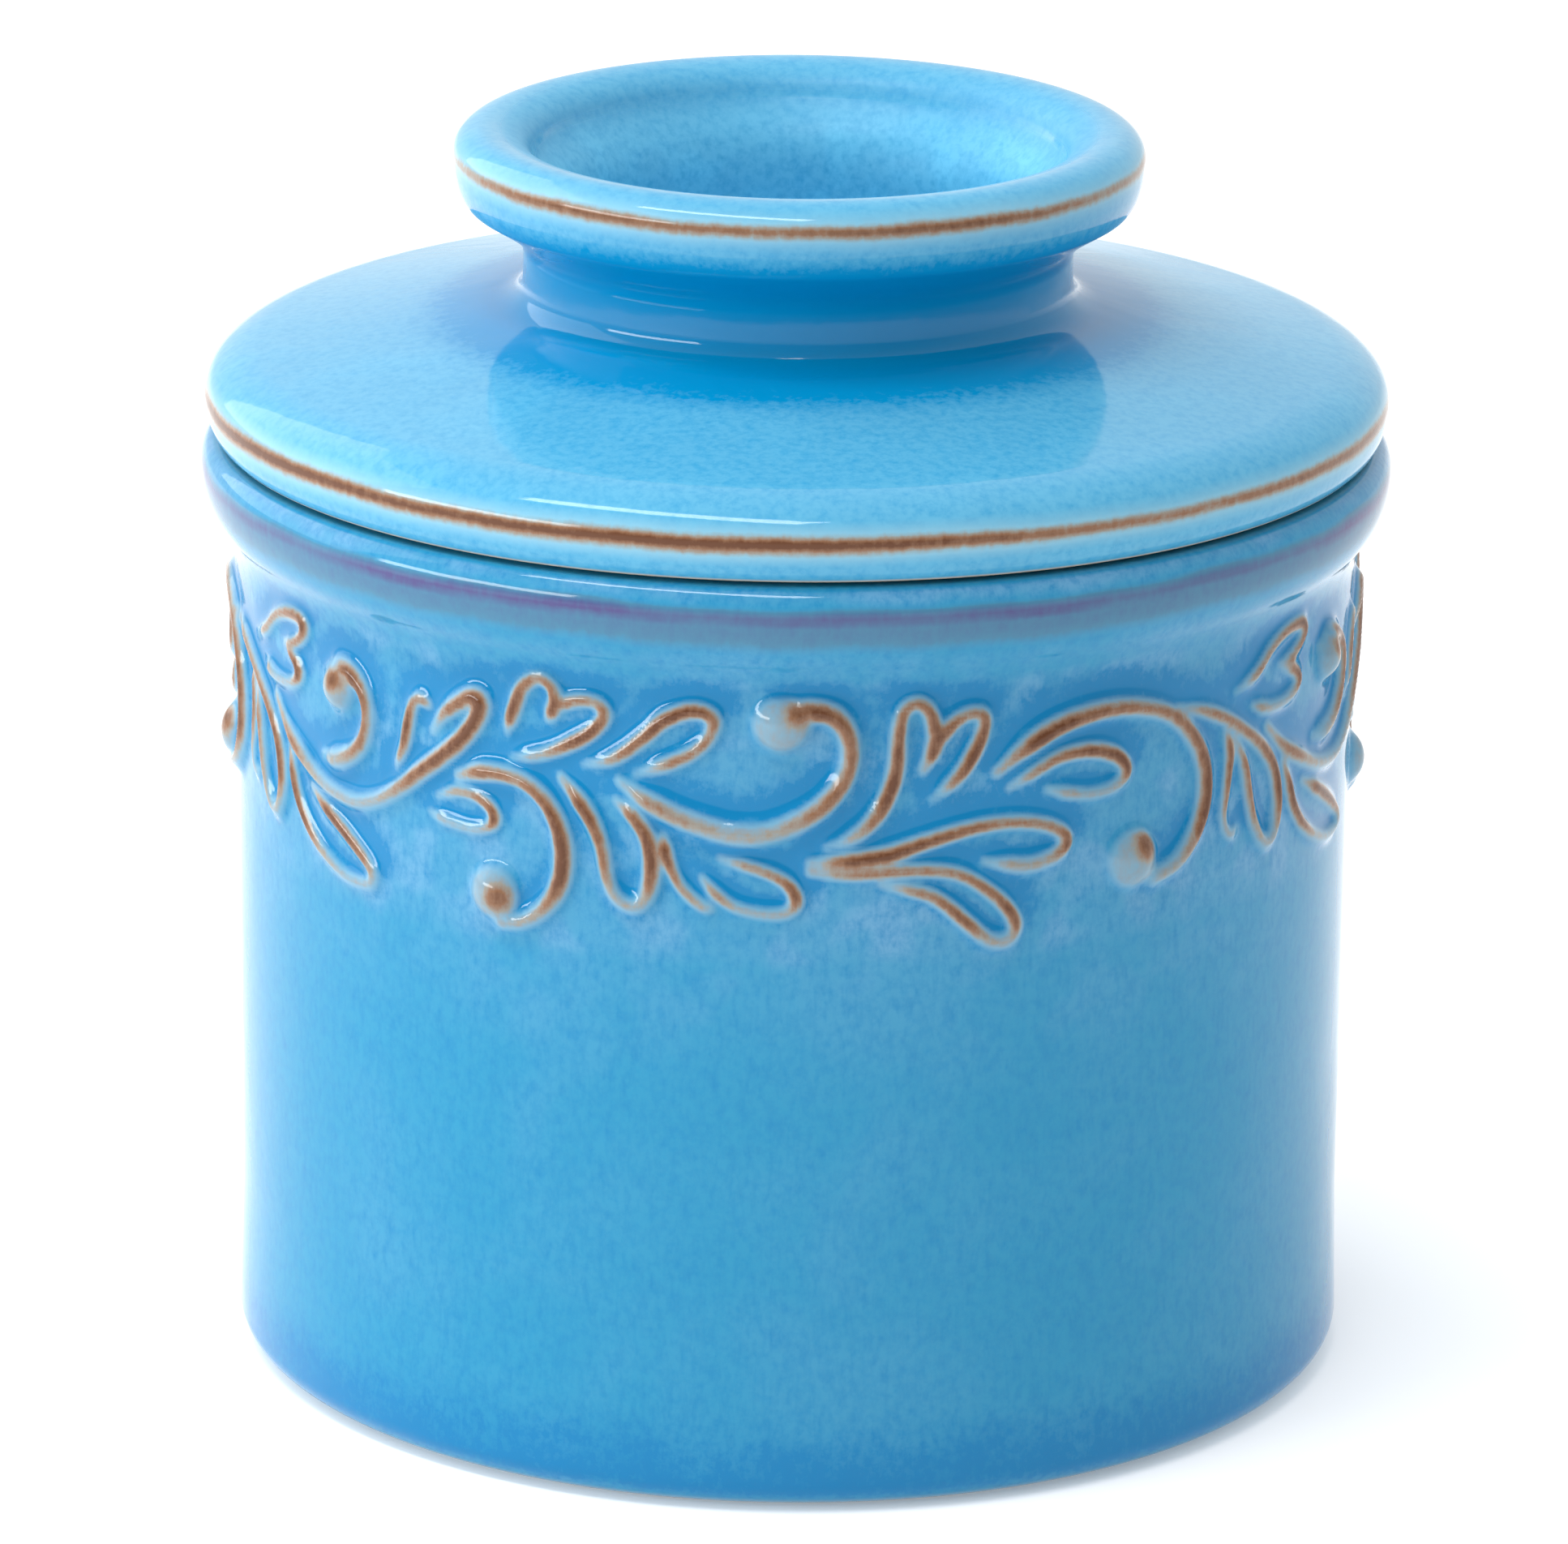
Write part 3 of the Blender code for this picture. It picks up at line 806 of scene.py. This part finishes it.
@dataclass
class Lid:
    """The lid: hollow flared knob, neck, sloping top, rounded edge, seat and underside."""

    columns: int = 360
    edge_drop: float = 0.0036
    edge_round: float = 0.0017
    shoulder: tuple[float, float] = (0.0069, 0.0043)
    rise: float = 0.0037
    seat_width: float = 0.0055
    seat_recess: float = 0.0025
    neck_radius: float = 0.0249
    neck_height: float = 0.0022
    neck_cove: tuple[float, float] = (0.0030, 0.0026)
    knob_flare: float = 0.00635
    knob_height: float = 0.01395
    knob_wall: float = 0.0047
    knob_floor: float = 0.0043
    knob_corner: float = 0.0050
    lip: tuple[float, float] = (0.0029, 0.0023)
    lip_under: tuple[float, float] = (0.0017, 0.0046)
    lip_inner: tuple[float, float] = (0.0042, 0.0028)

    def __post_init__(self) -> None:
        """Take the seat and the edge from the frame."""
        low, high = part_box("lid")
        self.radius, self.seat = high[0], low[2]
        self.underside = self.seat + self.seat_recess
        self.edge = self.seat + self.edge_drop
        self.neck_foot = self.edge + self.shoulder[1] + self.rise
        self.lip_line = self.neck_foot + self.knob_height

    def outline(self) -> Array:
        """The section from the middle of the knob's hollow, over its lip and down to the underside."""
        hollow_radius = self.neck_radius - self.knob_wall
        hollow_floor = self.underside + self.knob_floor
        corner, inner = self.knob_corner, self.lip_inner
        knob_radius = self.neck_radius + self.knob_flare
        crown = knob_radius - self.lip[0]
        low_neck = (self.neck_radius, self.neck_foot + self.neck_cove[1])
        top_neck = (self.neck_radius, low_neck[1] + self.neck_height)
        cove_end = (self.neck_radius + self.neck_cove[0], self.neck_foot)
        mouth = oval((crown, self.lip_line + self.lip[1] - inner[1]), inner, 165, 90, 14)
        lip = oval((crown, self.lip_line), self.lip, 90, 0, 16)
        under = oval((knob_radius - self.lip_under[0], self.lip_line), self.lip_under, 0, -75, 14)
        shoulder = oval((self.radius - self.shoulder[0], self.edge), self.shoulder, 76, 0, 20)
        seat_outer = self.radius - self.edge_round
        seat_inner = seat_outer - self.seat_width
        under_end = tuple(under[-1])
        across, drop = under_end[0] - self.neck_radius, under_end[1] - top_neck[1]
        return joined(
            line((0, hollow_floor), (hollow_radius - corner, hollow_floor), 5),
            oval((hollow_radius - corner, hollow_floor + corner), (corner, corner), -90, 0, 8),
            bezier(((hollow_radius, top_neck[1]), (hollow_radius, self.lip_line - self.lip[1]),
                    (mouth[0, 0] - 0.25 * inner[0], mouth[0, 1] - inner[1]), tuple(mouth[0])), 14),
            mouth, lip, under,
            bezier((under_end, (under_end[0] - 0.45 * across, under_end[1] - 0.3 * drop),
                    (self.neck_radius, under_end[1] - 0.6 * drop), top_neck), 12),
            bezier((low_neck, (self.neck_radius, low_neck[1] - 0.6 * self.neck_cove[1]),
                    (self.neck_radius + 0.4 * self.neck_cove[0], low_neck[1] - 0.9 * self.neck_cove[1]),
                    cove_end), 10),
            line(cove_end, tuple(shoulder[0]), 16), shoulder,
            oval((seat_outer, self.edge), (self.edge_round, self.edge_drop), 0, -90, 10),
            line((seat_outer, self.seat), (seat_inner, self.seat), 2),
            line((seat_inner, self.seat), (seat_inner - self.seat_recess, self.underside), 2),
            line((seat_inner - self.seat_recess, self.underside), (0, self.underside), 6),
        )

    def mark(self, rings: list[Ring]) -> None:
        """Mark the worn lines on the lip and the edge, the pool round the neck, painted light that
        lightens the knob's hollow, which also fired duller inside, and the wiped seat.

        A worn line is a sum of bells of the height off the widest line, and its strength wanders round
        the lid.
        """
        for ring in rings:
            angle, level, radius = ring_angles(ring.columns), ring.height / MM, ring.radius / MM
            worn = np.zeros_like(level)
            for line_height, least_radius, share, phase in (
                (self.lip_line, self.neck_radius + self.knob_flare - 0.0034, 0.82, 0.6),
                (self.edge, self.radius - 0.0050, 1.0, 2.3),
            ):
                off = level - line_height / MM - 0.1 + 0.14 * wander(angle, (2, 5, 11, 23), phase)
                strength = share * (0.86 + 0.3 * wander(angle, (1, 2, 5), phase))
                bell = sum(top * np.exp(-((off / half) ** power)) for top, half, power in WORN_BELLS)
                near = (np.abs(off) < 5) * (radius > least_radius / MM)
                worn = np.maximum(worn, bell * strength * near)
            neck = smooth_step(38.0, 28.0, radius) * (radius > self.neck_radius / MM - 0.2)
            neck = neck * smooth_step(self.lip_line / MM - 1.5, self.lip_line / MM - 4.5, level)
            neck = neck * (level > self.edge / MM + 1)
            # hollow: painted light, a lighter glaze colour laid into the knob's shaded hollow
            hollow = smooth_step(25.0, 20.5, radius) * (level > self.underside / MM + 1)
            inside = smooth_step(28.2, 26.0, radius) * (level > self.underside / MM + 1)
            inside = inside * ((radius < self.neck_radius / MM - 1) | (level > self.lip_line / MM))
            seat = (level < self.seat / MM + 0.25) * (radius > 40)
            # The milk mark here is painted light in the hollow, not milky glaze
            ring.marks = {"worn": worn, "pool": neck, "milky_glaze_and_painted_light": 1.3 * hollow,
                          "dull": inside, "clay": seat.astype(float)}

    def build(self, finish: bpy.types.Material) -> bpy.types.Object:
        """Make the lid as one closed turned piece."""
        rings = plain_rings(self.outline(), self.columns)
        self.mark(rings)
        return turned_piece("lid_with_knob", rings, finish)


@dataclass
class ButterBell:
    """The cup under the lid that holds the butter, with the bead of slip that joins it to the lid."""

    columns: int = 252
    taper: float = 0.0025
    wall: float = 0.0045
    bead: float = 0.0022
    inside_corner: float = 0.0060

    def __post_init__(self) -> None:
        """Take the mouth and the closed end from the frame."""
        low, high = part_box("butter_bell")
        self.radius, self.mouth, self.top = high[0], low[2], high[2]

    def outline(self) -> Array:
        """The section from the closed end, out over the bead, down the wall and up the inside."""
        end, lip, corner = self.radius - self.taper, self.wall / 2, self.inside_corner
        return joined(
            line((0, self.top), (end + self.bead * 0.8, self.top), 6),
            bezier(((end + self.bead * 0.8, self.top), (end + self.bead, self.top - 0.2 * self.bead),
                    (end, self.top - 0.6 * self.bead), (end + 0.0001, self.top - 2 * self.bead)), 8),
            line((end + 0.0001, self.top - 2 * self.bead), (self.radius, self.mouth + lip), 14),
            oval((self.radius - lip, self.mouth + lip), (lip, lip), 0, -180, 14),
            line((self.radius - self.wall, self.mouth + lip),
                 (end - self.wall, self.top - self.wall - corner), 14),
            oval((end - self.wall - corner, self.top - self.wall - corner), (corner, corner), 0, 90, 8),
            line((end - self.wall - corner, self.top - self.wall), (0, self.top - self.wall), 5),
        )

    def mark(self, rings: list[Ring]) -> None:
        """Mark the worn line round the mouth."""
        for ring in rings:
            angle = ring_angles(ring.columns)
            off = (ring.height - self.mouth) / MM + 0.3 * wander(angle, (3, 8, 17), 0.9)
            ring.marks = {"worn": 0.85 * smooth_step(1.6, 0.1, off)}

    def build(self, finish: bpy.types.Material) -> bpy.types.Object:
        """Make the bell as one closed turned piece."""
        rings = plain_rings(self.outline(), self.columns)
        self.mark(rings)
        return turned_piece("hanging_butter_bell", rings, finish)


# ---------------------------------------------------------------- studio


@dataclass(frozen=True)
class SoftBox:
    """One area lamp, aimed at the middle of the crock.

    Fields:
        name: What it is called in the scene.
        azimuth: Degrees round from the front towards the right.
        elevation: Degrees above the table.
        distance: Metres from the crock's middle.
        size: Width and height in metres.
        power: Watts.
    """

    name: str
    azimuth: float
    elevation: float
    distance: float
    size: tuple[float, float]
    power: float

    def place(self, target: Vector) -> None:
        """Put the lamp in the scene, facing the target."""
        data = bpy.data.lights.new(self.name, "AREA")
        data.shape = "RECTANGLE"
        data.size, data.size_y = self.size
        data.energy = self.power
        lamp = bpy.data.objects.new(self.name, data)
        around, up = math.radians(self.azimuth), math.radians(self.elevation)
        away = Vector((math.sin(around) * math.cos(up), -math.cos(around) * math.cos(up), math.sin(up)))
        lamp.location = target + away * self.distance
        lamp.rotation_euler = away.to_track_quat("Z", "Y").to_euler()
        bpy.context.scene.collection.objects.link(lamp)


@dataclass
class Studio:
    """A white table top, a surround that is white round the horizon, soft boxes and the camera."""

    horizon: float = 1.0
    zenith: float = 1.2
    behind_camera: float = 0.4
    right_side: float = 0.88
    floor_glow: float = 0.25
    floor_colour: str = "f4f4f4"
    floor_roughness: float = 0.9
    floor_size: float = 6.0
    lens: float = 225.1
    camera_distance: float = 0.9034
    camera_elevation: float = 17.51
    camera_pitch: float = 17.07
    camera_roll: float = 0.57
    camera_aside: float = -0.00082
    aim_height: float = 0.0459
    boxes: tuple[SoftBox, ...] = (
        SoftBox("top_strip", -38, 66, 0.8, (0.6, 0.10), 2.8),
        SoftBox("left_strip", -62, 14, 0.8, (0.6, 0.10), 2.6),
        SoftBox("left_panel", -118, 28, 1.2, (1.2, 0.9), 5.4),
    )

    def build_floor(self) -> bpy.types.Object:
        """A plain pale table top."""
        half = self.floor_size / 2
        mesh = bpy.data.meshes.new("table_top")
        mesh.from_pydata([(-half, -half, 0), (half, -half, 0), (half, half, 0), (-half, half, 0)],
                         [], [(0, 1, 2, 3)])
        finish = bpy.data.materials.new("matt_white_paper")
        finish.use_nodes = True
        shader = finish.node_tree.nodes["Principled BSDF"]
        shader.inputs["Base Color"].default_value = linear(self.floor_colour)
        shader.inputs["Roughness"].default_value = self.floor_roughness
        shader.inputs["Emission Color"].default_value = linear(self.floor_colour)
        shader.inputs["Emission Strength"].default_value = self.floor_glow
        mesh.materials.append(finish)
        floor = bpy.data.objects.new("table_top", mesh)
        bpy.context.scene.collection.objects.link(floor)
        return floor

    def build_sky(self) -> None:
        """A surround whose light falls from the horizon to the zenith."""
        world = bpy.data.worlds.new("white_surround")
        world.use_nodes = True
        tree = world.node_tree
        upward = add_node(tree, "ShaderNodeSeparateXYZ", {
            0: add_node(tree, "ShaderNodeTexCoord").outputs["Generated"]})
        strength = spread(tree, upward.outputs["Z"], 0.3, 0.75, self.horizon, self.zenith)
        for share in (spread(tree, upward.outputs["Y"], -0.9, 0.1, self.behind_camera, 1.0),
                      spread(tree, upward.outputs["X"], 0.1, 0.8, 1.0, self.right_side)):
            strength = reckon(tree, "MULTIPLY", strength, share)
        background = tree.nodes["Background"]
        background.inputs["Color"].default_value = (1, 1, 1, 1)
        tree.links.new(strength, background.inputs["Strength"])
        bpy.context.scene.world = world

    def build_camera(self) -> None:
        """A long lens a little above the crock, tilted down and rolled by a hair."""
        data = bpy.data.cameras.new("camera")
        data.lens = self.lens
        data.sensor_width = 36
        data.sensor_fit = "HORIZONTAL"
        data.clip_start, data.clip_end = 0.05, 20
        camera = bpy.data.objects.new("camera", data)
        up, pitch = math.radians(self.camera_elevation), math.radians(self.camera_pitch)
        place = Vector((self.camera_aside, -self.camera_distance * math.cos(up),
                        self.aim_height + self.camera_distance * math.sin(up)))
        tilt = Matrix.Rotation(math.pi / 2 - pitch, 4, "X")
        roll = Matrix.Rotation(math.radians(self.camera_roll), 4, "Z")
        camera.matrix_world = Matrix.Translation(place) @ tilt @ roll
        bpy.context.scene.collection.objects.link(camera)
        bpy.context.scene.camera = camera

    def build(self) -> None:
        """Set up floor, surround, lamps and camera."""
        self.build_floor()
        self.build_sky()
        for box in self.boxes:
            box.place(Vector((0, 0, self.aim_height)))
        self.build_camera()
        bpy.context.scene.view_settings.view_transform = "Standard"


# ---------------------------------------------------------------- assembly


def hand_over(piece: bpy.types.Object, node: str, body: str) -> None:
    """Let a piece stand for a CAD node and ride on its body, and report it.

    Args:
        piece: The finished piece.
        node: The CAD node that it stands for.
        body: The body that it moves with.
    """
    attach(piece, body)
    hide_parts(node)
    LOG.info("%s: %d faces, rides on %s", piece.name, len(piece.data.polygons), body)


def main() -> None:
    """Build the studio and the three pieces."""
    logging.basicConfig(level=logging.INFO, format="%(name)s: %(message)s")
    Studio().build()
    crock_glaze = BrokenBlueGlaze(GlazeLook.CROCK).material()
    # The lid's cloud colour also paints light into the knob's hollow
    lid_glaze = BrokenBlueGlaze(GlazeLook.LID, blue="56a4c8", cloud="68c8ea", deep="0088bc",
                                thin="90bccc", cloud_share=0.12, streak_length=1.5, streak_share=0.2,
                                blotch=0.4).material()
    bell_glaze = BrokenBlueGlaze(GlazeLook.BELL, blue="52b2d6", streak_share=0.2).material()
    hand_over(Crock().build(crock_glaze), "crock", "crock")
    hand_over(Lid().build(lid_glaze), "lid", "lid")
    hand_over(ButterBell().build(bell_glaze), "butter_bell", "lid")


if __name__ == "__main__":
    main()
